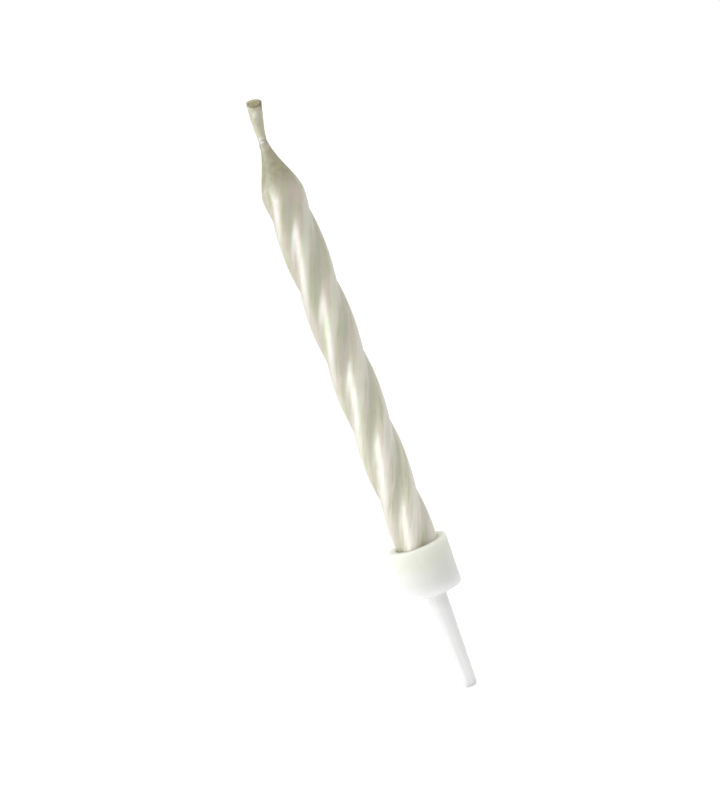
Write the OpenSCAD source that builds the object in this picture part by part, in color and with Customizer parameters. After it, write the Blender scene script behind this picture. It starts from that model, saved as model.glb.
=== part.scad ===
// Spiral birthday candle in its push-in holder. A fluted wax shaft is twisted
// into a four-start spiral and ends in a smooth shoulder, a wick runs through
// its middle, and a small moulded cup with a spike holds it on the cake.
// Millimetres and degrees. The candle stands along +Z, and z = 0 is the
// underside of the cup, which rests on the surface of the cake.

/* [Candle] */
// Diameter over the crests of the twisted shaft
crest_d = 5.2; // [4.4:0.1:8]
// Length of the twisted shaft, from its cut base to the foot of the shoulder
shaft_l = 48; // [25:0.2:90]
// Length of the shoulder, from its foot to the neck
shoulder_l = 7.4; // [4:0.2:12]

/* [Flutes] */
// Number of flutes round the shaft
flutes = 4; // [3:1:8]
// Rise of the spiral in one full turn
twist_pitch = 35; // [25:1:80]
// Depth of a flute below the crests
flute_depth = 0.5; // [0.2:0.02:0.7]
// Radius of the rounded crests between the flutes
crest_round = 1.4; // [1:0.05:2]
// Direction that the first crest faces at the base, in degrees from +X
crest_angle = 20; // [0:5:90]

/* [Wick] */
// Diameter of the braided wick inside the wax
wick_d = 0.8; // [0.5:0.05:1.1]
// Thickness of the wax round the wick at the neck
neck_film = 0.1; // [0.06:0.01:0.3]
// Length of wick that stands out of the neck, up to the middle of its end
wick_out_l = 4.4; // [2.4:0.1:8]
// Width of the waxed wick at its cut end
wick_end_w = 1.85; // [1.3:0.05:2.4]
// Thickness of the waxed wick at its cut end
wick_end_t = 1.55; // [1.3:0.05:2.4]
// How far the cut end leans to the side
wick_lean = 0.6; // [0:0.05:1.6]
// Slant of the cut end towards the front, in degrees
wick_cut = 25; // [0:1:30]

/* [Holder cup] */
// Depth of the socket that takes the foot of the candle
socket_depth = 5; // [3:0.1:8]
// Gap all round between the crests and the wall of the socket
socket_gap = 0.05; // [0.02:0.01:0.1]
// Wall of the cup at its rim
cup_wall = 0.95; // [0.7:0.05:1.6]
// How much the wall draws in from the rim to the underside
cup_draft = 0.2; // [0:0.05:0.35]
// Floor of the socket
cup_floor = 1; // [0.6:0.1:2]
// Rounding of the outer edges of the cup
cup_round = 0.25; // [0.1:0.05:0.3]
// Chamfer that leads the candle into the socket
lead_in = 0.2; // [0.1:0.05:0.3]

/* [Holder spike] */
// Length of the spike below the cup
spike_l = 12.2; // [8:0.1:25]
// Diameter of the spike at its root
spike_root_d = 2.5; // [2:0.1:3.4]
// Diameter of the spike at its tip
spike_tip_d = 1.65; // [1:0.05:1.9]
// Radius of the fillet between the spike and the cup
root_fillet = 0.5; // [0.2:0.05:0.8]
// Rounding of the blunt tip
tip_round = 0.3; // [0.1:0.05:0.45]

/* [Hidden] */
$fn = 96;

// Points round one section of the shaft, and degrees of twist between sections
section_points = 48;
twist_step = 6;
// Flat bands that make up the shoulder's curve and each small rounding
shoulder_bands = 24;
round_bands = 6;
// Sides and rings of the waxed wick end
wick_sides = 24;
wick_rings = 16;

crest_r = crest_d / 2;
wick_r = wick_d / 2;
neck_r = wick_r + neck_film;
socket_r = crest_r + socket_gap;
rim_r = socket_r + cup_wall;
under_r = rim_r - cup_draft;
cup_h = cup_floor + socket_depth;
body_l = shaft_l + shoulder_l;
neck_z = cup_floor + body_l;

// One overrun for every cut, so that no cut ends flush with what it cuts
overrun = 0.5;
// The shoulder's foot stands this much outside the crests, as a share of
// their radius, so the twisted crests meet it at a clear corner
foot_share = 1.01;
// Shape of the shoulder: the first is how late it fills out below the neck, and
// the second is the share of a straight cone in its curve
shoulder_share = 1.03;
shoulder_straight = 0.25;
// How suddenly the wick flares, leans over and slants towards the cut
flare_share = 1.3;
lean_share = 1.5;
slant_share = 3;
// Rim round the wick's cut end and dish inside it, as shares of its thickness
end_rim_share = 0.09;
end_dish_share = 0.07;

// Radius of the shaft's section in the direction a, with crests at 0: round
// lobes that meet in narrow flutes, no deeper than their floor
function lobe_r(a) =
    let (out = crest_r - crest_round)
    out * cos(a) + sqrt(pow(crest_round, 2) - pow(out * sin(a), 2));
function section_r(a) =
    let (step = 360 / flutes, off = a - step * round(a / step))
    max(lobe_r(off), crest_r - flute_depth);

// Radius of the shoulder at the share t of the way from the neck to its foot
function shoulder_r(t) =
    let (s = pow(t, shoulder_share), curve = (1 - cos(180 * s)) / 2)
    neck_r + (foot_share * crest_r - neck_r) * (curve + shoulder_straight * (s - curve));

// Points of an arc in a half section, from the angle a0 to the angle a1
function arc(centre, r, a0, a1) =
    [for (i = [0:round_bands]) centre + r * [cos(a0 + (a1 - a0) * i / round_bands),
                                             sin(a0 + (a1 - a0) * i / round_bands)]];

// Half width, half thickness and height of the waxed wick at the share t of
// its free length, and how far its middle has leant over
function wick_half(t) =
    let (flare = sin(90 * pow(t, flare_share)))
    [neck_r + (wick_end_w / 2 - neck_r) * flare, neck_r + (wick_end_t / 2 - neck_r) * flare];
function wick_shift(t) = wick_lean * pow(t, lean_share);
function wick_tilt(t) =
    t == 0 ? 0 : atan2(lean_share * wick_lean * pow(t, lean_share - 1), wick_out_l);
function wick_slant(t) = wick_cut * pow(t, slant_share);

// One ring of the wick: an oval of half sizes h, centred at the share t, square
// to the wick's line but slanted to the front, and pushed up square to itself
function wick_ring(t, h, up) =
    let (tilt = wick_tilt(t), slant = wick_slant(t))
    [for (i = [0:wick_sides - 1])
        let (a = 360 * i / wick_sides, x = h[0] * cos(a), y = h[1] * sin(a))
        [wick_shift(t) + x * cos(tilt) + up * sin(tilt) * cos(slant),
         y * cos(slant) - up * cos(tilt) * sin(slant),
         neck_z + wick_out_l * t - x * sin(tilt) + y * sin(slant)
             + up * cos(tilt) * cos(slant)]];

// A closed skin over a list of rings, each with the same number of points
module ring_skin(rings) {
    sides = len(rings[0]);
    last = len(rings) - 1;
    walls = [for (k = [0:last - 1], i = [0:sides - 1])
        let (j = (i + 1) % sides, a = k * sides, b = (k + 1) * sides)
        each [[a + i, b + j, a + j], [a + i, b + i, b + j]]];
    bottom = [for (i = [1:sides - 2]) [0, i, i + 1]];
    top = [for (i = [1:sides - 2]) [last * sides, last * sides + i + 1, last * sides + i]];
    polyhedron(points = [for (ring = rings) each ring], faces = concat(walls, bottom, top));
}

// The extruded, twisted bar that the shaft is cut from
module twisted_bar(length) {
    turn = 360 * length / twist_pitch;
    rotate([0, 0, crest_angle])
        linear_extrude(height = length, twist = -turn, slices = ceil(turn / twist_step),
                       segments = section_points, convexity = 4)
            polygon([for (i = [0:section_points - 1])
                let (a = 360 * i / section_points)
                section_r(a) * [cos(a), sin(a)]]);
}

// Everything inside the shoulder's curve, and the shaft below it
module shoulder_envelope() {
    rotate_extrude()
        polygon(concat(
            [[0, -overrun], [crest_r + overrun, -overrun], [crest_r + overrun, shaft_l]],
            [for (i = [0:shoulder_bands])
                let (t = 1 - i / shoulder_bands)
                [shoulder_r(t), shaft_l + (1 - t) * shoulder_l]],
            [[0, body_l]]));
}

// Twisted shaft and smooth shoulder in one piece of wax, round the wick
module wax_body() {
    color([0.93, 0.92, 0.86])
        translate([0, 0, cup_floor])
            difference() {
                intersection() {
                    twisted_bar(body_l + overrun);
                    shoulder_envelope();
                }
                translate([0, 0, -overrun])
                    cylinder(r = wick_r, h = body_l + 2 * overrun);
            }
}

// Straight core through the wax, and the waxed end that flares and leans over
module wick() {
    end_rim = end_rim_share * wick_end_t;
    end_dish = end_dish_share * wick_end_t;
    end_half = wick_half(1);
    color([0.85, 0.82, 0.72]) {
        translate([0, 0, cup_floor])
            cylinder(r = wick_r, h = body_l + neck_film);
        ring_skin(concat(
            [for (k = [0:wick_rings - 1]) wick_ring(k / wick_rings, wick_half(k / wick_rings), 0)],
            [wick_ring(1, end_half, -end_rim),
             wick_ring(1, end_half - [end_rim, end_rim] / 3, -end_rim / 3),
             wick_ring(1, end_half - [end_rim, end_rim], 0),
             wick_ring(1, end_half - 2 * [end_rim, end_rim], 0),
             wick_ring(1, end_half - 3 * [end_rim, end_rim], -end_dish)]));
    }
}

// Outside of the cup: a little wider at the rim, with rounded edges
module cup_outside() {
    rotate_extrude()
        polygon(concat(
            [[0, 0]],
            arc([under_r - cup_round, cup_round], cup_round, -90, 0),
            arc([rim_r - cup_round, cup_h - cup_round], cup_round, 0, 90),
            [[0, cup_h]]));
}

// Tapered spike with a fillet at its root and a blunt, rounded tip
module spike() {
    root_r = spike_root_d / 2;
    tip_r = spike_tip_d / 2;
    rotate_extrude()
        polygon(concat(
            [[0, cup_floor / 2], [root_r + root_fillet, cup_floor / 2]],
            arc([root_r + root_fillet, -root_fillet], root_fillet, 90, 180),
            arc([tip_r - tip_round, tip_round - spike_l], tip_round, 0, -90),
            [[0, -spike_l]]));
}

// Round socket down to the cup's floor, with a chamfer at its mouth
module socket() {
    translate([0, 0, cup_floor])
        cylinder(r = socket_r, h = socket_depth + overrun);
    translate([0, 0, cup_h - lead_in])
        cylinder(r1 = socket_r, r2 = socket_r + lead_in + overrun, h = lead_in + overrun);
}

// Cup and spike, moulded in one piece
module holder() {
    color([0.95, 0.96, 0.94])
        difference() {
            union() {
                cup_outside();
                spike();
            }
            socket();
        }
}

wax_body();
wick();
holder();
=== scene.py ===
# %% [markdown]
# # A spiral birthday candle in its cake holder
# The real object is three things: a bar of pearl-coated wax, the wick that runs
# through it, and a small moulded plastic cup with a spike. This lesson dresses
# the imported CAD model of that assembly. The CAD model fixes every place and
# size, and Blender adds what a drawing can't show: softened edges, the marks of
# making, and the finishes.
#
# The first step loads the CAD model as a fixed frame and keeps its box.

import math

import bmesh
import bpy
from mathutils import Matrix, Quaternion, Vector


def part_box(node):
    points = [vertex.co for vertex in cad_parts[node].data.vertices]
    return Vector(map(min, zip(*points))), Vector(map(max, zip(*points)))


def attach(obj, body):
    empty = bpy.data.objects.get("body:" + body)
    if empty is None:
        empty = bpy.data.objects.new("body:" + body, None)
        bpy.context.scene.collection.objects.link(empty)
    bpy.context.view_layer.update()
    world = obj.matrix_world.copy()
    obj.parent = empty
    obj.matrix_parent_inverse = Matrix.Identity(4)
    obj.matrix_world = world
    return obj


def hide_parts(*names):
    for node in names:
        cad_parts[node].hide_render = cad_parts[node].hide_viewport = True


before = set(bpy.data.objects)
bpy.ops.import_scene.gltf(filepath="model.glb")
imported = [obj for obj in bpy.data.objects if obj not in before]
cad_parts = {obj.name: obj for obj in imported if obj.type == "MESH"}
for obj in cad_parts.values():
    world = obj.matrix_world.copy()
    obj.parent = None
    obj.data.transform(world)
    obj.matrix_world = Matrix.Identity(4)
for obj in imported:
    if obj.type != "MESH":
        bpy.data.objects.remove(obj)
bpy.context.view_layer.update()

# %% [markdown]
# ## The driving dimensions
# A candle like this is described by few numbers: how wide it is over its
# crests, how many flutes it has and how fast they turn, and where the shaft,
# the shoulder and the wick end. The heights are read from the CAD nodes, so the
# dressed pieces sit exactly where the frame has them, and the few other sizes
# are those of the CAD model's source. The wick stands out a hair less than
# there, which leaves room for the lip of its cut.

# %% Dimensions
MM = 0.001
wax_low, wax_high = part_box("wax_body")
cup_low, cup_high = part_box("holder")

crest_r = (wax_high.x - wax_low.x) / 2
base_z, neck_z = wax_low.z, wax_high.z
spike_tip_z, rim_z = cup_low.z, cup_high.z
flutes = 4
twist_pitch = 35 * MM
flute_depth = 0.5 * MM
crest_round = 1.4 * MM
crest_angle = math.radians(20)
shoulder_l = 7.4 * MM
foot_z = neck_z - shoulder_l
wick_r = 0.4 * MM
neck_r = 0.5 * MM
wick_out_l = 4.36 * MM
wick_end_z = neck_z + wick_out_l
print("crests", round(2 * crest_r / MM, 2), "mm across, wax from z", round(base_z / MM, 2),
      "to", round(neck_z / MM, 2), "mm")

# %% [markdown]
# ## Helpers for selecting
# By hand, a part is clicked before it is changed. A script can't click, and
# every operator in edit mode acts on all that is selected, so each step here
# starts by saying what it wants. These helpers make one piece the only active
# one, and pick its points, edges or faces by where they are.

# %% Helpers for selecting


def only(piece):
    """Deselects everything else and makes this piece the active one."""
    bpy.ops.object.select_all(action="DESELECT")
    piece.select_set(True)
    bpy.context.view_layer.objects.active = piece


def edit(piece):
    only(piece)
    bpy.ops.object.mode_set(mode="EDIT")


def leave():
    bpy.ops.object.mode_set(mode="OBJECT")


def pick(piece, kind, test):
    """In edit mode, selects each point, edge or face that passes the test."""
    bpy.ops.mesh.select_mode(type=kind)
    bpy.ops.mesh.select_all(action="DESELECT")
    mesh = bmesh.from_edit_mesh(piece.data)
    parts = {"VERT": mesh.verts, "EDGE": mesh.edges, "FACE": mesh.faces}[kind]
    chosen = [part for part in parts if test(part)]
    for part in chosen:
        part.select = True
    mesh.select_flush_mode()
    bmesh.update_edit_mesh(piece.data)
    return len(chosen)


def pick_all():
    bpy.ops.mesh.select_all(action="SELECT")


# %% [markdown]
# ## The section of the bar
# In the factory soft wax is pressed through a die with four round lobes, and
# the bar is twisted while it is warm. The lobes are parts of a circle, so the
# crests are well rounded and the flutes between them are narrow creases. The
# same order works here: first the section, then the bar, then the twist.
#
# The section is a cage of corners that subdivision will round off. Rounding
# draws corners inwards, so the cage is let out bit by bit until its smoothed
# curve lies on the section that is wanted.

# %% Section
corners = 24
rounds = 30
lobe_out = crest_r - crest_round
lobe_step = 2 * math.pi / flutes
corner_step = 2 * math.pi / corners


def section_r(turn):
    """Radius of the section in a direction measured from the nearest crest."""
    lobe = lobe_out * math.cos(turn) + math.sqrt(crest_round**2 - (lobe_out * math.sin(turn))**2)
    return max(lobe, crest_r - flute_depth)


wanted = [section_r((corner_step * i + lobe_step / 2) % lobe_step - lobe_step / 2)
          for i in range(corners)]
cage = list(wanted)
for _ in range(rounds):
    sides = [cage[i - 1] + cage[(i + 1) % corners] for i in range(corners)]
    smoothed = [(4 * c + s * math.cos(corner_step)) / 6 for c, s in zip(cage, sides)]
    cage = [c + w - s for c, w, s in zip(cage, wanted, smoothed)]
half_lobe = corners // flutes // 2 + 1
print("from crest to crease, section", [round(r / MM, 3) for r in wanted[:half_lobe]],
      "and cage", [round(r / MM, 3) for r in cage[:half_lobe]], "mm")

# %% [markdown]
# ## Helpers for shaping
# Four short names for the operators that this lesson uses most: moving,
# extruding and scaling what is selected, and applying a modifier as soon as it
# is set up. Scaling takes its centre on the candle's axis at a given height,
# because without a window Blender ignores the pivot setting.

# %% Helpers for shaping


def slide(x=0, y=0, z=0):
    bpy.ops.transform.translate(value=(x, y, z))


def pull_out(x=0, y=0, z=0):
    """Extrudes what is selected and moves the new part."""
    bpy.ops.mesh.extrude_region_move(TRANSFORM_OT_translate={"value": (x, y, z)})


def widen(height, x, y):
    """Scales what is selected about the axis, at this height."""
    bpy.ops.transform.resize(value=(x, y, 1), center_override=(0, 0, height))


def modify(piece, kind, **settings):
    """Adds a modifier, sets it up and applies it."""
    only(piece)
    step = piece.modifiers.new(kind.lower(), kind)
    for name, value in settings.items():
        setattr(step, name, value)
    bpy.ops.object.modifier_apply(modifier=step.name)


print("heights on the axis in mm: foot", round(base_z / MM, 2), "shoulder", round(foot_z / MM, 2),
      "neck", round(neck_z / MM, 2), "wick's end", round(wick_end_z / MM, 2))

# %% [markdown]
# ## The fluted bar
# A circle with one point for each corner is drawn at the foot, each set of
# points is scaled to its radius, and the outline is extruded to the full
# length. Cuts across the long faces let the bar be twisted smoothly later. The
# bar could be built from a table of all its points too, but then its shape
# could not be changed by hand any more.

# %% Fluted bar
overrun = 0.5 * MM
bar_cuts = 63
bar_l = neck_z - base_z + 2 * overrun
bpy.ops.mesh.primitive_circle_add(vertices=corners, radius=crest_r,
                                  location=(0, 0, base_z), rotation=(0, 0, crest_angle))
wax = bpy.context.object
wax.name = wax.data.name = "spiral_wax"
bpy.ops.object.transform_apply(location=False, rotation=True, scale=True)


def corner_set(number):
    """A test for the points that stand this many corners away from a crest."""
    def test(point):
        turn = (math.atan2(point.co.y, point.co.x) - crest_angle + lobe_step / 2) % lobe_step
        return abs(abs(turn - lobe_step / 2) - number * corner_step) < corner_step / 4
    return test


edit(wax)
for number in range(half_lobe):
    found = pick(wax, "VERT", corner_set(number))
    widen(base_z, cage[number] / crest_r, cage[number] / crest_r)
    print(found, "corners scaled to", round(cage[number] / MM, 3), "mm")
pick_all()
slide(z=-overrun)
pull_out(z=bar_l)
pick(wax, "EDGE", lambda e: abs(e.verts[0].co.z - e.verts[1].co.z) > bar_l / 2)
bpy.ops.mesh.subdivide(number_cuts=bar_cuts)
leave()
modify(wax, "SUBSURF", levels=2, render_levels=2)
print("bar smoothed to", len(wax.data.vertices), "points")

# %% [markdown]
# ## The twist
# Each ring of points could be turned by hand, but the Simple Deform modifier
# does it for all of them: it turns every point about the bar's own axis by an
# angle that grows with its height. The bar's origin is at the cut foot of the
# candle, so the first crest keeps its direction there, as in the CAD model.
# After the twist the two open ends are closed. Two more helpers come in here:
# one puts a piece's place into its mesh, and one prints its size and volume.

# %% Twist


def place(piece):
    """Puts the piece's place into its mesh, so its object sits at the origin."""
    only(piece)
    bpy.ops.object.transform_apply(location=True, rotation=True, scale=True)


def report(piece):
    """Prints the piece's size, its volume and whether its skin is closed."""
    skin = bmesh.new()
    skin.from_mesh(piece.data)
    open_edges = sum(not e.is_manifold for e in skin.edges)
    low = [round(min(v.co[i] for v in skin.verts) / MM, 3) for i in range(3)]
    high = [round(max(v.co[i] for v in skin.verts) / MM, 3) for i in range(3)]
    triangles = sum(len(f.verts) - 2 for f in skin.faces)
    print(piece.name, low, high, "mm,", round(skin.calc_volume() / MM**3, 1), "mm3,",
          triangles, "triangles,", open_edges, "open edges")
    skin.free()


modify(wax, "SIMPLE_DEFORM", deform_method="TWIST", deform_axis="Z",
       angle=2 * math.pi * bar_l / twist_pitch)
place(wax)
edit(wax)
pick_all()
bpy.ops.mesh.fill_holes(sides=0)
bpy.ops.mesh.normals_make_consistent(inside=False)
leave()
report(wax)

# %% [markdown]
# ## The shoulder
# The end of the twisted bar is turned down to a soft cone round the wick. Where
# the cone cuts the flutes it leaves pointed arches, like those on a sharpened
# pencil. They could be drawn by hand, but a Boolean finds them by itself: a
# former with the cone's shape is turned on a lathe, and only the wax that lies
# inside it is kept. The former also rounds the cut foot a little, and lifts it
# a hair off the floor of the cup.
#
# The lathe is a helper. It starts from a plane merged to one point, extrudes
# that point along the outline, and spins the line about the axis.

# %% Lathe


def lathe(name, outline, steps):
    """Draws an outline of (radius, height) points edge by edge, then spins it round."""
    bpy.ops.mesh.primitive_plane_add(size=MM)
    piece = bpy.context.object
    piece.name = piece.data.name = name
    edit(piece)
    bpy.ops.mesh.select_mode(type="VERT")
    pick_all()
    bpy.ops.mesh.merge(type="CENTER")
    slide(x=outline[0][0], z=outline[0][1])
    for (r0, z0), (r1, z1) in zip(outline, outline[1:]):
        pull_out(x=r1 - r0, z=z1 - z0)
    pick_all()
    bpy.ops.mesh.spin(steps=steps, angle=2 * math.pi, center=(0, 0, 0), axis=(0, 0, 1))
    pick_all()
    bpy.ops.mesh.remove_doubles(threshold=0.001 * MM)
    bpy.ops.mesh.normals_make_consistent(inside=False)
    leave()
    return piece


print("the lathe draws each outline as (radius, height) points in the plane y = 0")

# %% [markdown]
# The outline of the former is that of the CAD model's shoulder: half a wave of
# a cosine with a share of a straight cone in it, so it leaves the neck softly
# and meets the shaft at a clear corner.

# %% Shoulder
foot_r = 1.01 * crest_r
foot_round = 0.18 * MM
foot_lift = 0.02 * MM
shoulder_share, straight_share = 1.03, 0.25
bands, former_steps = 40, 96


def shoulder_r(share):
    """Radius of the shoulder, from the neck at 0 to its foot at 1."""
    late = share**shoulder_share
    wave = (1 - math.cos(math.pi * late)) / 2
    return neck_r + (foot_r - neck_r) * (wave + straight_share * (late - wave))


cut_z = base_z + foot_lift
tip_outline = [(0, cut_z), (crest_r - foot_round, cut_z), (foot_r, cut_z + 1.2 * foot_round)]
for band in range(bands + 1):
    share = 1 - band / bands
    tip_outline.append((shoulder_r(share), neck_z - share * shoulder_l))
tip_outline.append((0, neck_z))
former = lathe("shoulder_former", tip_outline, former_steps)
modify(wax, "BOOLEAN", operation="INTERSECT", object=former, solver="EXACT")
bpy.data.objects.remove(former)
report(wax)

# %% [markdown]
# ## Wax crumbs at the neck
# Where the pearl dip ran off the wick it left a few small beads of wax. They
# are little squashed balls. Those below the neck are joined to the wax before
# its skin is made new, so that they melt into it. The others sit on the wick
# and are kept for it.

# %% Crumbs


def join(piece, others):
    only(piece)
    for other in others:
        other.select_set(True)
    bpy.ops.object.join()


def crumb(direction, rise, size, sunk=0.3):
    """A squashed ball at this direction in degrees and rise above the neck, in mm."""
    turn = math.radians(direction)
    reach = neck_r + 0.1 * rise * MM if rise > 0 else shoulder_r(-rise * MM / shoulder_l)
    reach -= sunk * size * MM
    centre = (reach * math.cos(turn), reach * math.sin(turn), neck_z + rise * MM)
    bpy.ops.mesh.primitive_ico_sphere_add(subdivisions=3, radius=size * MM, location=centre)
    bead = bpy.context.object
    bead.scale = (1, 1, 0.8)
    place(bead)
    return bead


low_crumbs = [crumb(-108, -0.15, 0.32, 0.0), crumb(-50, -0.8, 0.22), crumb(60, -0.4, 0.22),
              crumb(165, -0.7, 0.24)]
high_crumbs = [crumb(-108, 0.15, 0.2, 0.2), crumb(75, 0.2, 0.17), crumb(-25, 0.3, 0.13)]
join(wax, low_crumbs)
print(len(low_crumbs), "crumbs on the wax,", len(high_crumbs), "on the wick")

# %% [markdown]
# ## A new skin, softened as by a dip in hot wax
# The finished candle is dipped once more, and the coat rounds every edge off.
# Bevels can't do that here, because the arches and the creases run out to
# nothing. So a voxel Remesh covers the whole shape with small even faces, and a
# few rounds of Smooth melt it all together. A Displace modifier with a soft
# cloud texture adds the slight waves of hand-cooled wax, a few hundredths of a
# millimetre high.

# %% New skin
skin_voxel, melt_rounds = 0.115 * MM, 16
wave_l, wave_h = 3.2 * MM, 0.05 * MM
modify(wax, "REMESH", mode="VOXEL", voxel_size=skin_voxel, use_smooth_shade=True)
modify(wax, "SMOOTH", factor=0.5, iterations=melt_rounds)
waves = bpy.data.textures.new("wax waves", "CLOUDS")
waves.noise_scale = wave_l
waves.noise_depth = 1
modify(wax, "DISPLACE", texture=waves, texture_coords="LOCAL", strength=wave_h, mid_level=0.5)
report(wax)

# %% [markdown]
# The wick runs right through the wax, so the wax has a bore for it. The bore is
# cut last, with a drill a little longer than the candle, because a wall as thin
# as the one at the neck would be lost in the new skin.

# %% Bore
bpy.ops.mesh.primitive_cylinder_add(vertices=32, radius=wick_r, depth=bar_l,
                                    location=(0, 0, (base_z + neck_z) / 2))
drill = bpy.context.object
place(drill)
modify(wax, "BOOLEAN", operation="DIFFERENCE", object=drill, solver="EXACT")
bpy.data.objects.remove(drill)
report(wax)

# %% [markdown]
# ## The wick
# The wick is a braid of cotton threads. It runs through the whole candle and
# stands out of the neck, where it carries its own coat of wax, flares, leans a
# little to one side and ends in a clean cut. A ring with a groove between each
# pair of threads is extruded to the full length, twisted like the bar, and then
# widened and moved over ring by ring. Short extra rings hold the corners,
# because subdivision rounds a corner over the whole length of its longest side.

# %% Wick rope
threads = 7
thread_step = 2 * math.pi / threads
rope_rings, rope_cuts = 26, 60
rope_pitch = 9 * MM
hold = 0.08 * MM
crown_share, groove_share = 1.04, 0.95
bpy.ops.mesh.primitive_circle_add(vertices=2 * threads, radius=crown_share * wick_r)
wick = bpy.context.object
wick.name = wick.data.name = "waxed_wick"
edit(wick)


def in_groove(point):
    turn = (math.atan2(point.co.y, point.co.x) - math.pi / 2) % thread_step
    return abs(turn - thread_step / 2) < 0.1


print("grooves:", pick(wick, "VERT", in_groove))
widen(0, groove_share, groove_share)
pick_all()
slide(z=base_z)
for length in (hold, neck_z - base_z - 8 * hold, 2 * hold, 5 * hold):
    pull_out(z=length)
widen(neck_z, neck_r / wick_r, neck_r / wick_r)
for ring in range(rope_rings):
    pull_out(z=wick_out_l / rope_rings)
print("rope cage:", len(bmesh.from_edit_mesh(wick.data).verts), "points")

# %% [markdown]
# Cuts across the long faces let the rope be twisted, as on the bar of wax. The
# cut end is not flat: the scissors leave a raised rim of wax round a shallow
# dish where the threads end. The top edge is closed with a face, which is inset
# four times. Each pair of numbers is one inset and how far it is pushed down.

# %% Cut end
dish_steps = ((0.025 * MM, 0), (0.07 * MM, 0), (0.04 * MM, 0.12 * MM), (0.12 * MM, -0.05 * MM))
foot_inset = 0.04 * MM


def at_height(z):
    """A test for edges whose two ends both lie at this height."""
    return lambda edge: all(abs(v.co.z - z) < 0.01 * MM for v in edge.verts)


pick(wick, "EDGE", lambda e: abs(e.verts[0].co.z - e.verts[1].co.z) > shoulder_l)
bpy.ops.mesh.subdivide(number_cuts=rope_cuts)
pick(wick, "EDGE", at_height(wick_end_z))
bpy.ops.mesh.edge_face_add()
for inset, painted_highlight_spot in dish_steps:
    bpy.ops.mesh.inset(thickness=inset)
    slide(z=-painted_highlight_spot)
pick(wick, "EDGE", at_height(base_z))
bpy.ops.mesh.edge_face_add()
bpy.ops.mesh.inset(thickness=foot_inset)
pick_all()
bpy.ops.mesh.normals_make_consistent(inside=False)
leave()
modify(wick, "SUBSURF", levels=2, render_levels=2)
modify(wick, "SIMPLE_DEFORM", deform_method="TWIST", deform_axis="Z",
       angle=2 * math.pi * (wick_end_z - base_z) / rope_pitch)
report(wick)

# %% [markdown]
# Now the flare, the lean and the slant of the cut. Every ring above the neck is
# taken in turn, by its height, made wider across than through, moved towards
# the side and turned a little, so that the end faces the side and the front.
# The widths follow a quarter of a sine wave, slow at first so that a waist stays
# above the neck, and the last rings turn out into a small lip. Run without a
# window, the rotate operator turns the other way, so its angles are negative.
# The last of the wax crumbs are joined on at the neck.

# %% Flare and lean
end_half_w, end_half_t = 0.925 * MM, 0.775 * MM
wick_lean = 0.6 * MM
wick_cut = math.radians(25)
flare_share, lean_share, slant_share = 1.3, 1.5, 3
lip_from, lip_out = 0.93, 0.05


def flare(share, end_half):
    """How much wider than the neck the wick is, at this share of its free length."""
    swell = math.sin(math.pi / 2 * share**flare_share)
    lip = lip_out * max(0, share - lip_from) / (1 - lip_from)
    return (neck_r + ((1 - lip_out) * end_half - neck_r) * swell) * (1 + lip) / neck_r


def lean_slope(share):
    """Angle between the wick's line and the candle's axis."""
    return math.atan(lean_share * wick_lean * share**(lean_share - 1) / wick_out_l)


rings = {}
for point in wick.data.vertices:
    if point.co.z > neck_z + 0.02 * MM:
        rings.setdefault(round(point.co.z / MM, 3), []).append(point.index)
edit(wick)
for height in sorted(rings):
    share = min(1, (height * MM - neck_z) / wick_out_l)
    members = set(rings[height])
    pick(wick, "VERT", lambda point: point.index in members)
    widen(height * MM, flare(share, end_half_w), flare(share, end_half_t))
    reach = wick_lean * share**lean_share
    slide(x=reach)
    tilt = lean_slope(share)
    for axis, angle in (("X", wick_cut * share**slant_share), ("Y", tilt)):
        bpy.ops.transform.rotate(value=-angle, orient_axis=axis,
                                 center_override=(reach, 0, height * MM))
leave()
print(len(rings), "rings, end tilted", round(math.degrees(tilt), 1), "degrees to the side")
join(high_crumbs[0], high_crumbs[1:])
modify(wick, "BOOLEAN", operation="UNION", object=high_crumbs[0], solver="EXACT")
bpy.data.objects.remove(high_crumbs[0])
only(wick)
bpy.ops.object.shade_smooth()
report(wick)

# %% [markdown]
# ## The holder
# The holder is moulded in one shot from soft natural plastic, so it is a turned
# shape: a cup that widens a little to its rim, a flat underside, and a tapered
# spike. It could be built up from cylinders, but then their joins would have to
# be cleaned. So its outline is drawn with sharp corners and spun in one go, and
# each corner is bevelled with the radius that the real corner has.

# %% Holder outline
cup_low_r, cup_rim_r = 3.4 * MM, (cup_high.x - cup_low.x) / 2
socket_r = 2.65 * MM
spike_root_r, spike_end_r = 1.25 * MM, 0.825 * MM
steps_round, parting_step = 128, 36
line_ends = (spike_tip_z + 0.6 * MM, -0.9 * MM, 0.5 * MM, rim_z - 0.45 * MM)


def wall_r(z):
    """Radius of the drafted skin outside: the spike below 0, the cup above it."""
    if z < 0:
        return spike_root_r + (spike_root_r - spike_end_r) * z / -spike_tip_z
    return cup_low_r + (cup_rim_r - cup_low_r) * z / rim_z


holder_outline = [(0, spike_tip_z), (spike_end_r, spike_tip_z)]
holder_outline += [(wall_r(z), z) for z in line_ends[:2]]
holder_outline += [(spike_root_r, 0), (cup_low_r, 0)]
holder_outline += [(wall_r(z), z) for z in line_ends[2:]]
holder_outline += [(cup_rim_r, rim_z), (socket_r, rim_z), (socket_r, base_z), (0, base_z)]
cup = lathe("moulded_holder", holder_outline, steps_round)


def on_circle(radius, height):
    """A test for the edges of one ring of the turned shape."""
    def test(edge):
        return all(abs(v.co.xy.length - radius) < 0.02 * MM and abs(v.co.z - height) < 0.01 * MM
                   for v in edge.verts)
    return test


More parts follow.
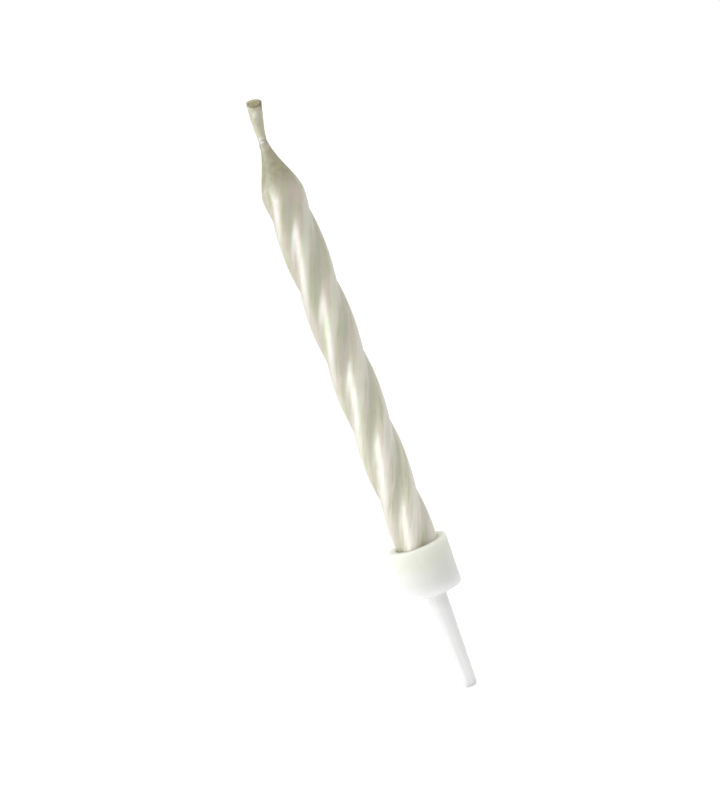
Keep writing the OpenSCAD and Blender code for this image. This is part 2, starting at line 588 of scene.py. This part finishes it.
soft_corners = [
    ("blunt tip", spike_end_r, spike_tip_z, 0.3 * MM, 5),
    ("spike root", spike_root_r, 0, 0.45 * MM, 5),
    ("underside", cup_low_r, 0, 0.25 * MM, 5),
    ("rim, outside", cup_rim_r, rim_z, 0.25 * MM, 5),
    ("rim, inside", socket_r, rim_z, 0.16 * MM, 3),
    ("socket floor", socket_r, base_z, 0.12 * MM, 3)]
edit(cup)
for corner, radius, height, size, steps in soft_corners:
    print(corner, pick(cup, "EDGE", on_circle(radius, height)), "edges")
    bpy.ops.mesh.bevel(offset=size, offset_type="WIDTH", segments=steps, profile=0.5)
leave()

# %% [markdown]
# The two halves of the mould meet in a plane through the axis, and a hair of
# plastic stands up along that line on both sides of the spike and the cup. The
# edges there are bevelled to a narrow strip, and its middle is pushed out by a
# few hundredths of a millimetre. That is too fine for most pictures, and a bump
# would do there, but an edge catches light better when it is real. The line
# stops short of the rim and the tip.

# %% Parting line
parting = -2 * math.pi * parting_step / steps_round
line_half_w, line_rise = 0.05 * MM, 0.035 * MM


def off_parting(point):
    """Angle between a point and the nearer half of the parting plane."""
    turn = math.atan2(point.co.y, point.co.x) - parting
    return abs((turn + math.pi / 2) % math.pi - math.pi / 2)


def outside(point):
    skin = point.co.xy.length > socket_r + 0.3 * MM or point.co.z < -0.01 * MM
    return skin and point.co.xy.length > 0.6 * MM


def on_parting_line(edge):
    rises = abs(edge.verts[0].co.z - edge.verts[1].co.z) > 0.02 * MM
    return rises and all(off_parting(v) < 0.005 and outside(v) for v in edge.verts)


def on_raised_line(point):
    low, high = line_ends[0] - 0.01 * MM, line_ends[-1] + 0.01 * MM
    return off_parting(point) < 0.004 and outside(point) and low < point.co.z < high


edit(cup)
print("parting edges:", pick(cup, "EDGE", on_parting_line))
bpy.ops.mesh.bevel(offset=line_half_w, offset_type="OFFSET", segments=2)
print("points of the raised line:", pick(cup, "VERT", on_raised_line))
bpy.ops.transform.shrink_fatten(value=line_rise)
leave()
only(cup)
bpy.ops.object.shade_smooth_by_angle(angle=math.radians(35))
report(cup)

# %% [markdown]
# ## Which piece moves with what
# The wax and the wick lift out of the holder together, so both ride on the body
# that the CAD model calls candle. Each piece stands for one CAD node, which is
# hidden, and later gets one finish.

# %% Bodies
for piece, body, cad_node, finish in ((wax, "candle", "wax_body", "pearl_wax"),
                                      (wick, "candle", "wick", "waxed_cotton"),
                                      (cup, "holder", "holder", "natural_white_plastic")):
    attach(piece, body)
    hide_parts(cad_node)
    print(piece.name, "rides on", body, "for", cad_node, "in", finish)

# %% [markdown]
# ## Building finishes from nodes
# Every finish is a small network of nodes, which works out its colour, gloss
# and relief from the place of each point. No picture is wrapped round the
# piece, so there is no seam and nothing to stretch. One helper adds a node,
# sets its options and fills its sockets, each with a value or with the output
# of another node. The others do jobs that come up again and again: mixing two
# colours, stretching a range of numbers, doing sums and marking a soft spot.

# %% Node helpers


def fill(node, inputs):
    """Sets or links each input: a plain value or another node's output."""
    for key, value in inputs.items():
        if isinstance(value, bpy.types.NodeSocket):
            node.id_data.links.new(value, node.inputs[key])
        else:
            node.inputs[key].default_value = value
    return node.outputs


def add_node(tree, kind, inputs=None, **settings):
    """Adds a node with its options and inputs, and gives its outputs."""
    made = tree.nodes.new("ShaderNode" + kind)
    for name, value in settings.items():
        setattr(made, name, value)
    return fill(made, inputs or {})


def mix(tree, share, first, second):
    """Mixes two colours; a colour is an output or three numbers."""
    pair = [c if isinstance(c, bpy.types.NodeSocket) else (*c, 1) for c in (first, second)]
    return add_node(tree, "Mix", {0: share, 6: pair[0], 7: pair[1]}, data_type="RGBA")[2]


def span(tree, value, low, high, to_low=0.0, to_high=1.0):
    """Stretches a value from one range to another with soft ends."""
    return add_node(tree, "MapRange", {"Value": value, "From Min": low, "From Max": high,
                                       "To Min": to_low, "To Max": to_high},
                    interpolation_type="SMOOTHSTEP")[0]


def sums(tree, way, first, second):
    return add_node(tree, "Math", {0: first, 1: second}, operation=way)[0]


def noise(tree, position, scale, detail=2.0):
    return add_node(tree, "TexNoise", {"Vector": position, "Scale": scale, "Detail": detail})[0]


def spot(tree, position, centre, size):
    """1 in a soft round spot about this place, 0 outside it."""
    away = add_node(tree, "VectorMath", {0: position, 1: centre}, operation="DISTANCE")["Value"]
    return span(tree, away, 0.4 * size, size, 1.0, 0.0)


def new_group(name, inputs, outputs):
    """Starts a node group with named sockets and returns it with its two ends."""
    tree = bpy.data.node_groups.new(name, "ShaderNodeTree")
    for way, sockets in (("INPUT", inputs), ("OUTPUT", outputs)):
        for socket, kind in sockets.items():
            tree.interface.new_socket(socket, in_out=way, socket_type="NodeSocket" + kind)
    return tree, tree.nodes.new("NodeGroupInput").outputs, tree.nodes.new("NodeGroupOutput")


def use_group(tree, group, inputs):
    made = tree.nodes.new("ShaderNodeGroup")
    made.node_tree = group
    return fill(made, inputs)


def new_finish(name, piece, **even_values):
    """A material with one Principled shader, whose even values are set on it."""
    material = bpy.data.materials.new(name)
    material.use_nodes = True
    piece.data.materials.clear()
    piece.data.materials.append(material)
    tree = material.node_tree
    shader = tree.nodes["Principled BSDF"]
    fill(shader, {socket.replace("_", " "): value for socket, value in even_values.items()})
    return tree, shader, add_node(tree, "TexCoord")["Object"]


print("pieces to dress:", [piece.name for piece in (wax, wick, cup)])

# %% [markdown]
# ## Three shared effects
# The first group undoes a twist: it turns each point back about the axis, so a
# pattern made with the result runs along the flutes or threads, however they
# wind. It also gives the distance from the axis, which tells a crest from a
# crease. The second makes a cloudy tone between two colours, and the third the
# height of a fine, uneven grain for a Bump node.

# %% Shared groups
straighten, given, ends = new_group(
    "Straighten the twist", {"Position": "Vector", "Radians per metre": "Float"},
    {"Position": "Vector", "Radius": "Float"})
axes = add_node(straighten, "SeparateXYZ", {0: given["Position"]})
turn = sums(straighten, "MULTIPLY", axes["Z"], given["Radians per metre"])
turned = add_node(straighten, "VectorRotate", {"Vector": given["Position"],
                  "Angle": sums(straighten, "MULTIPLY", turn, -1.0)}, rotation_type="Z_AXIS")[0]
flat = add_node(straighten, "CombineXYZ", {0: axes["X"], 1: axes["Y"]})[0]
length = add_node(straighten, "VectorMath", {0: flat}, operation="LENGTH")["Value"]
fill(ends, {"Position": turned, "Radius": length})

cloudy, given, ends = new_group(
    "Cloudy tone", {"Position": "Vector", "Scale": "Float", "Low": "Float", "High": "Float",
                    "Dark": "Color", "Light": "Color"}, {"Color": "Color", "Cloud": "Float"})
cloud = span(cloudy, noise(cloudy, given["Position"], given["Scale"], 3.0),
             given["Low"], given["High"])
fill(ends, {"Color": mix(cloudy, cloud, given["Dark"], given["Light"]), "Cloud": cloud})

grain, given, ends = new_group(
    "Fine grain", {"Position": "Vector", "Coarse scale": "Float", "Fine scale": "Float",
                   "Fine share": "Float"}, {"Height": "Float"})
fine = sums(grain, "MULTIPLY", noise(grain, given["Position"], given["Fine scale"], 4.0),
            given["Fine share"])
coarse = noise(grain, given["Position"], given["Coarse scale"])
fill(ends, {"Height": sums(grain, "ADD", coarse, fine)})
print("shared groups:", [group.name for group in bpy.data.node_groups])

# %% [markdown]
# ## Pearl wax
# Pearl lacquer is a clear film full of tiny mica flakes over ivory wax. The
# strong Coat of the shader gives its broad satin shine, which is whiter than
# the wax. Faint pink and olive tints run in thin streaks along the flutes, with
# fine darker lines between them, drawn out when the bar was pulled and twisted.
# The shaft is painted darker and more olive towards the top. This is painted
# shade for the light that falls off there, and the tints show more there.

# %% Pearl wax, film and streaks
tree, shader, position = new_finish(
    "pearl_wax", wax, IOR=1.85, Specular_IOR_Level=1.0, Coat_Roughness=0.41, Coat_IOR=2.0,
    Specular_Tint=(0.74, 0.87, 1.0, 1), Subsurface_Weight=0.75,
    Subsurface_Radius=(1.0, 0.9, 0.7), Subsurface_Scale=1.5 * MM)
along = use_group(tree, straighten, {"Position": position,
                                     "Radians per metre": 2 * math.pi / twist_pitch})
radius = along["Radius"]
height = add_node(tree, "SeparateXYZ", {0: position})["Z"]
streaks = add_node(tree, "Mapping", {"Vector": along["Position"], "Scale": (1, 1, 0.13)})[0]

body = use_group(tree, cloudy, {"Position": streaks, "Scale": 900, "Low": 0.35, "High": 0.68,
                                "Dark": (0.50, 0.445, 0.295, 1), "Light": (0.67, 0.615, 0.465, 1)})
# Painted shade: the shaft is mixed towards a dark olive towards the top.
top_shade_from_z = rim_z + 8 * MM
painted_top_shade = span(tree, height, top_shade_from_z, foot_z, 0.0, 0.9)
colour = mix(tree, painted_top_shade, body["Color"], (0.22, 0.172, 0.015))
tint = use_group(tree, cloudy, {"Position": streaks, "Scale": 1500, "Low": 0.42, "High": 0.58,
                                "Dark": (0.56, 0.43, 0.37, 1), "Light": (0.38, 0.43, 0.16, 1)})
tint_share = span(tree, height, rim_z, foot_z, 0.36, 0.54)
colour = mix(tree, tint_share, colour, tint["Color"])
hairs = span(tree, noise(tree, streaks, 3000, 3.0), 0.48, 0.66, 0.0, 0.5)
colour = mix(tree, hairs, colour, (0.31, 0.26, 0.13))
print("pearl_wax, film and streaks:", len(tree.nodes), "nodes")

# %% [markdown]
# The creases are painted darker and warmer as painted shade, and the crests
# paler as a painted highlight.
# The distance from the axis tells one from the other: it is the crest's radius
# on a crest, and less by the depth of a flute in a crease. The creases fade
# out where the shoulder begins.

# %% Pearl wax, creases and crests
# Painted shade: the creases are made darker and warmer.
crease = span(tree, radius, crest_r - 0.92 * flute_depth, crest_r - 0.45 * flute_depth, 1.0, 0.0)
below_cone = span(tree, height, foot_z - 1.2 * MM, foot_z + 0.6 * MM, 0.5, 0.0)
colour = mix(tree, sums(tree, "MULTIPLY", crease, below_cone), colour, (0.33, 0.30, 0.15))
# Painted highlight: the crests are made paler.
crest = span(tree, radius, crest_r - 0.25 * flute_depth, crest_r, 0.0, 0.4)
colour = mix(tree, crest, colour, (0.72, 0.71, 0.63))
print("with creases and crests:", len(tree.nodes), "nodes")

# %% [markdown]
# The edge of the film leaves a brownish bloom at the foot of the shoulder, and
# above that the mottled olive tone of the bare wax shows. Both fade in and out
# by height, and a cloudy pattern keeps their edges uneven. At the neck a bright
# bead marks where the last drop ran off, and a dark spot just below it is its
# painted shadow.

# %% Pearl wax, shoulder and neck
bead_spot = (-0.15 * MM, -0.7 * MM, neck_z - 0.1 * MM)
bead_shadow_spot = (-0.15 * MM, -0.8 * MM, neck_z - 0.8 * MM)
cone = span(tree, height, foot_z + 0.6 * MM, foot_z + 3.8 * MM)
patches = noise(tree, position, 700)
cone_share = sums(tree, "MULTIPLY", cone, span(tree, patches, 0.2, 0.75, 0.62, 0.95))
mottled = mix(tree, span(tree, noise(tree, position, 1900, 3.0), 0.35, 0.65), (0.30, 0.262, 0.10),
              (0.225, 0.187, 0.055))
colour = mix(tree, cone_share, colour, mottled)
film_edge = sums(tree, "MULTIPLY", span(tree, height, foot_z - 1.5 * MM, foot_z + 0.3 * MM),
                 span(tree, height, foot_z + 0.8 * MM, foot_z + 3 * MM, 1.0, 0.0))
blush = sums(tree, "MULTIPLY", film_edge, span(tree, patches, 0.45, 0.62, 0.0, 0.6))
colour = mix(tree, blush, colour, (0.40, 0.30, 0.18))
collar = span(tree, height, neck_z - 1.6 * MM, neck_z - 0.4 * MM, 0.0, 0.6)
colour = mix(tree, collar, colour, (0.50, 0.42, 0.29))
bead = spot(tree, position, bead_spot, 0.5 * MM)
colour = mix(tree, bead, colour, (0.60, 0.53, 0.42))
# Painted shadow: a dark spot just below the bead at the neck.
painted_bead_shadow = spot(tree, position, bead_shadow_spot, 0.45 * MM)
colour = mix(tree, painted_bead_shadow, colour, (0.30, 0.25, 0.17))
print("with shoulder and neck:", len(tree.nodes), "nodes")

# %% [markdown]
# The shine follows the film. It is strong and a little metallic on the shaft,
# because of the flakes, and almost gone on the bare wax of the shoulder, which
# is rougher too. Fine ripples along the flutes are left to a Bump node, since
# they are far too small to model.

# %% Pearl wax, shine and ripples
roughness = sums(tree, "ADD", span(tree, noise(tree, streaks, 1400, 3.0), 0.25, 0.75, 0.42, 0.52),
                 span(tree, cone, 0.0, 1.0, 0.0, 0.12))
flakes = sums(tree, "MULTIPLY", span(tree, body["Cloud"], 0.0, 1.0, 0.04, 0.14),
              span(tree, cone, 0.0, 1.0, 1.0, 0.1))
gloss = sums(tree, "MULTIPLY", span(tree, patches, 0.3, 0.7, 0.75, 1.0),
             span(tree, cone, 0.0, 1.0, 1.0, 0.07))
flow = use_group(tree, grain, {"Position": streaks, "Coarse scale": 1100, "Fine scale": 5200,
                               "Fine share": 0.3})["Height"]
bump = add_node(tree, "Bump", {"Height": flow, "Strength": 0.5, "Distance": 0.05 * MM})[0]
fill(shader, {"Base Color": colour, "Roughness": roughness, "Metallic": flakes,
              "Coat Weight": gloss, "Normal": bump})
print("pearl_wax finished:", len(tree.nodes), "nodes")

# %% [markdown]
# ## Waxed cotton
# The free end of the wick was dipped with the candle, so it has a thin uneven
# coat of the same pearl over cream cotton, paler and thickest at the neck. A
# pale spot on the front below the cut is a painted highlight. The straightened
# position makes the pattern follow the threads. The cut slopes to the side and
# to the front, so the distance from the cut is the height with both slopes
# taken off.

# %% Waxed cotton, coat
tree, shader, position = new_finish(
    "waxed_cotton", wick, IOR=1.45, Specular_IOR_Level=0.45, Coat_Roughness=0.3,
    Subsurface_Weight=0.85, Subsurface_Radius=(1.0, 0.95, 0.8), Subsurface_Scale=1.6 * MM)
along = use_group(tree, straighten, {"Position": position,
                                     "Radians per metre": 2 * math.pi / rope_pitch})
fibres = add_node(tree, "Mapping", {"Vector": along["Position"], "Scale": (1, 1, 0.2)})[0]
coat = use_group(tree, cloudy, {"Position": fibres, "Scale": 1500, "Low": 0.3, "High": 0.7,
                                "Dark": (0.395, 0.385, 0.28, 1), "Light": (0.455, 0.45, 0.37, 1)})

middle = add_node(tree, "VectorMath", {0: position, 1: (wick_lean, 0, wick_end_z)},
                  operation="SUBTRACT")[0]
from_end = add_node(tree, "SeparateXYZ", {0: middle})
to_side = sums(tree, "MULTIPLY", from_end["X"], math.tan(lean_slope(1)))
to_front = sums(tree, "MULTIPLY", from_end["Y"], -math.tan(wick_cut))
from_cut = sums(tree, "ADD", from_end["Z"], sums(tree, "ADD", to_side, to_front))
uneven = sums(tree, "SUBTRACT", noise(tree, position, 2600), 0.5)
wobble = sums(tree, "MULTIPLY", uneven, 0.3 * MM)
gathered = spot(tree, position, (-0.15 * MM, -0.6 * MM, neck_z + 0.1 * MM), 0.5 * MM)
# Painted highlight: a pale spot on the front of the wick, below the cut.
painted_highlight_spot = spot(tree, position, (wick_lean - 0.5 * MM, -1 * MM, wick_end_z - 1.3 * MM), 0.7 * MM)
neck_coat_and_highlight = sums(tree, "MAXIMUM", gathered, painted_highlight_spot)
colour = mix(tree, neck_coat_and_highlight, coat["Color"], (0.57, 0.55, 0.47))
print("waxed_cotton, coat:", len(tree.nodes), "nodes")

# %% [markdown]
# At the cut the scissors went through wax and threads. The rim is squeezed and
# dark, and painted shade darkens it more on the side away from the light. The
# threads inside it are greener and fibrous. A distance from the middle of the
# cut, stretched by the end's width and thickness, tells the threads from the rim.

# %% Waxed cotton, cut end
rim = span(tree, sums(tree, "ADD", from_cut, wobble), -0.38 * MM, -0.12 * MM)
colour = mix(tree, rim, colour, (0.21, 0.185, 0.12))
# Painted shade: the side of the cut away from the light is made darker still.
painted_side_shade = span(tree, sums(tree, "ADD", from_end["X"], wobble), 0.1 * MM, 0.8 * MM)
painted_side_shade = sums(tree, "MULTIPLY", painted_side_shade, span(tree, from_cut, -1.1 * MM, -0.1 * MM))
colour = mix(tree, painted_side_shade, colour, (0.13, 0.11, 0.06))
oval = add_node(tree, "VectorMath", {0: middle, 1: (1 / end_half_w, 1 / end_half_t, 0)},
                operation="MULTIPLY")[0]
off_centre = add_node(tree, "VectorMath", {0: oval}, operation="LENGTH")["Value"]
threads_share = sums(tree, "MULTIPLY", rim, span(tree, off_centre, 0.5, 0.78, 1.0, 0.0))
colour = mix(tree, threads_share, colour, (0.31, 0.30, 0.17))

fibre = use_group(tree, grain, {"Position": fibres, "Coarse scale": 2600, "Fine scale": 9000,
                                "Fine share": 0.6})["Height"]
bump = add_node(tree, "Bump", {"Height": fibre, "Strength": 0.4, "Distance": 0.04 * MM})[0]
fill(shader, {"Base Color": colour, "Roughness": span(tree, coat["Cloud"], 0.0, 1.0, 0.6, 0.45),
              "Metallic": span(tree, rim, 0.0, 1.0, 0.04, 0.0),
              "Coat Weight": span(tree, rim, 0.0, 1.0, 0.12, 0.0), "Normal": bump})
print("waxed_cotton finished:", len(tree.nodes), "nodes")

# %% [markdown]
# ## Natural white plastic
# The holder is soft polythene with no pigment, so it is milky: light goes a
# few millimetres into it and comes out again, which is what Subsurface does. It
# looks a touch green where the candle stands behind the wall, and colourless in
# the thin spike. The mould leaves a fine satin grain, which is a bump here, and
# faint flow lines round the cup.

# %% Natural white plastic
tree, shader, position = new_finish(
    "natural_white_plastic", cup, IOR=1.5, Specular_IOR_Level=0.25,
    Subsurface_Weight=0.9, Subsurface_Radius=(1.0, 1.0, 0.9), Subsurface_Scale=3 * MM)
height = add_node(tree, "SeparateXYZ", {0: position})["Z"]
flow_lines = add_node(tree, "Mapping", {"Vector": position, "Scale": (0.35, 0.35, 1.6)})[0]
milk = use_group(tree, cloudy, {"Position": flow_lines, "Scale": 420, "Low": 0.3, "High": 0.7,
                                "Dark": (0.755, 0.76, 0.74, 1), "Light": (0.80, 0.80, 0.785, 1)})
behind = sums(tree, "MULTIPLY", span(tree, height, -0.5 * MM, rim_z - 1 * MM),
              span(tree, milk["Cloud"], 0.0, 1.0, 1.0, 0.8))
colour = mix(tree, behind, milk["Color"], (0.73, 0.75, 0.62))
spike = span(tree, height, -0.3 * MM, -1.2 * MM)
colour = mix(tree, spike, colour, (0.67, 0.67, 0.675))
satin = use_group(tree, grain, {"Position": position, "Coarse scale": 1500, "Fine scale": 7000,
                                "Fine share": 0.5})["Height"]
bump = add_node(tree, "Bump", {"Height": satin, "Strength": 0.35, "Distance": 0.03 * MM})[0]
fill(shader, {"Base Color": colour, "Roughness": span(tree, satin, 0.5, 1.0, 0.36, 0.5),
              "Normal": bump})
print("natural_white_plastic finished:", len(tree.nodes), "nodes")

# %% [markdown]
# ## The camera
# The candle is seen from a little above, through a long lens, and it leans to
# the left in the picture. The candle itself stands upright on its axis, so the
# lean comes from rolling the camera. The camera looks at a point near the
# middle of the shaft, from far enough away for the whole object to be seen.

# %% Camera
aim_rise = 18.77 * MM
middle = Vector((0, 0, rim_z + aim_rise))
elevation, roll = math.radians(10), math.radians(20.93)
camera_distance = 0.381
back = Vector((0, -math.cos(elevation), math.sin(elevation)))
bpy.ops.object.camera_add(location=middle + back * camera_distance)
camera = bpy.context.object
camera.rotation_mode = "QUATERNION"
camera.rotation_quaternion = (-back).to_track_quat("-Z", "Y") @ Quaternion((0, 0, 1), -roll)
camera.data.lens = 150
camera.data.sensor_width = 36
camera.data.clip_start = 0.01
camera.data.clip_end = 100
bpy.context.scene.camera = camera
bpy.context.scene.view_settings.view_transform = "Standard"
print("camera", camera_distance, "m from a point", round(middle.z / MM, 2), "mm up the candle")

# %% [markdown]
# ## Studio light
# A wide soft box stands low on the left, almost level with the candle, and
# gives the pearly streaks down that side of the wax. A weaker one stands higher
# and further to the front, and widens them. The world is white for what the
# camera and reflections see, and a touch weaker as a light, so that the pale
# plastic is not washed out.

# %% Lamps
world_light = 0.96


def soft_box(name, location, width, height, power):
    bpy.ops.object.light_add(type="AREA", location=location)
    light = bpy.context.object
    light.name = name
    light.data.shape = "RECTANGLE"
    light.data.size = width
    light.data.size_y = height
    light.data.energy = power
    light.rotation_euler = (middle - light.location).to_track_quat("-Z", "Y").to_euler()


soft_box("soft box, left", (-0.51, -0.2, 0.09), 0.6, 0.3, 1.4)
soft_box("soft box, front", (-0.6, -0.45, 0.3), 0.6, 0.6, 1.1)


def seen_directly(tree):
    """1 for rays from the camera, from a mirror or through glass, else 0."""
    paths = add_node(tree, "LightPath")
    seen = sums(tree, "MAXIMUM", paths["Is Camera Ray"], paths["Is Glossy Ray"])
    return sums(tree, "MAXIMUM", seen, paths["Is Transmission Ray"])


world = bpy.data.worlds.new("studio")
bpy.context.scene.world = world
world.use_nodes = True
tree = world.node_tree
strength = span(tree, seen_directly(tree), 0.0, 1.0, world_light, 1.0)
fill(tree.nodes["Background"], {"Color": (1, 1, 1, 1), "Strength": strength})

# %% [markdown]
# ## The floor
# The floor is a plain pale sheet a hair below the spike's tip. It glows just
# enough for the camera to see it white, which lights nothing, and a matt part
# of its surface still darkens where the candle's soft shadow falls. Seen from
# below it is clear, so that the underside of the holder can be looked at.

# %% Floor
floor_z, floor_size, floor_glow = spike_tip_z - 0.2 * MM, 60, 0.34
bpy.ops.mesh.primitive_plane_add(size=floor_size, location=(0, 0, floor_z))
floor = bpy.context.object
floor.name = "floor"
material = bpy.data.materials.new("pale_floor")
material.use_nodes = True
floor.data.materials.append(material)
tree = material.node_tree
tree.nodes.remove(tree.nodes["Principled BSDF"])
matt = add_node(tree, "BsdfDiffuse", {"Color": (0.8, 0.8, 0.8, 1)})[0]
seen = sums(tree, "MULTIPLY", seen_directly(tree), floor_glow)
glow = add_node(tree, "Emission", {"Strength": seen})[0]
top_side = add_node(tree, "AddShader", {0: matt, 1: glow})[0]
clear = add_node(tree, "BsdfTransparent")[0]
below = add_node(tree, "NewGeometry")["Backfacing"]
both = add_node(tree, "MixShader", {0: below, 1: top_side, 2: clear})[0]
fill(tree.nodes["Material Output"], {"Surface": both})
print("floor at", round(floor_z / MM, 2), "mm, under the spike's tip at",
      round(spike_tip_z / MM, 2), "mm")
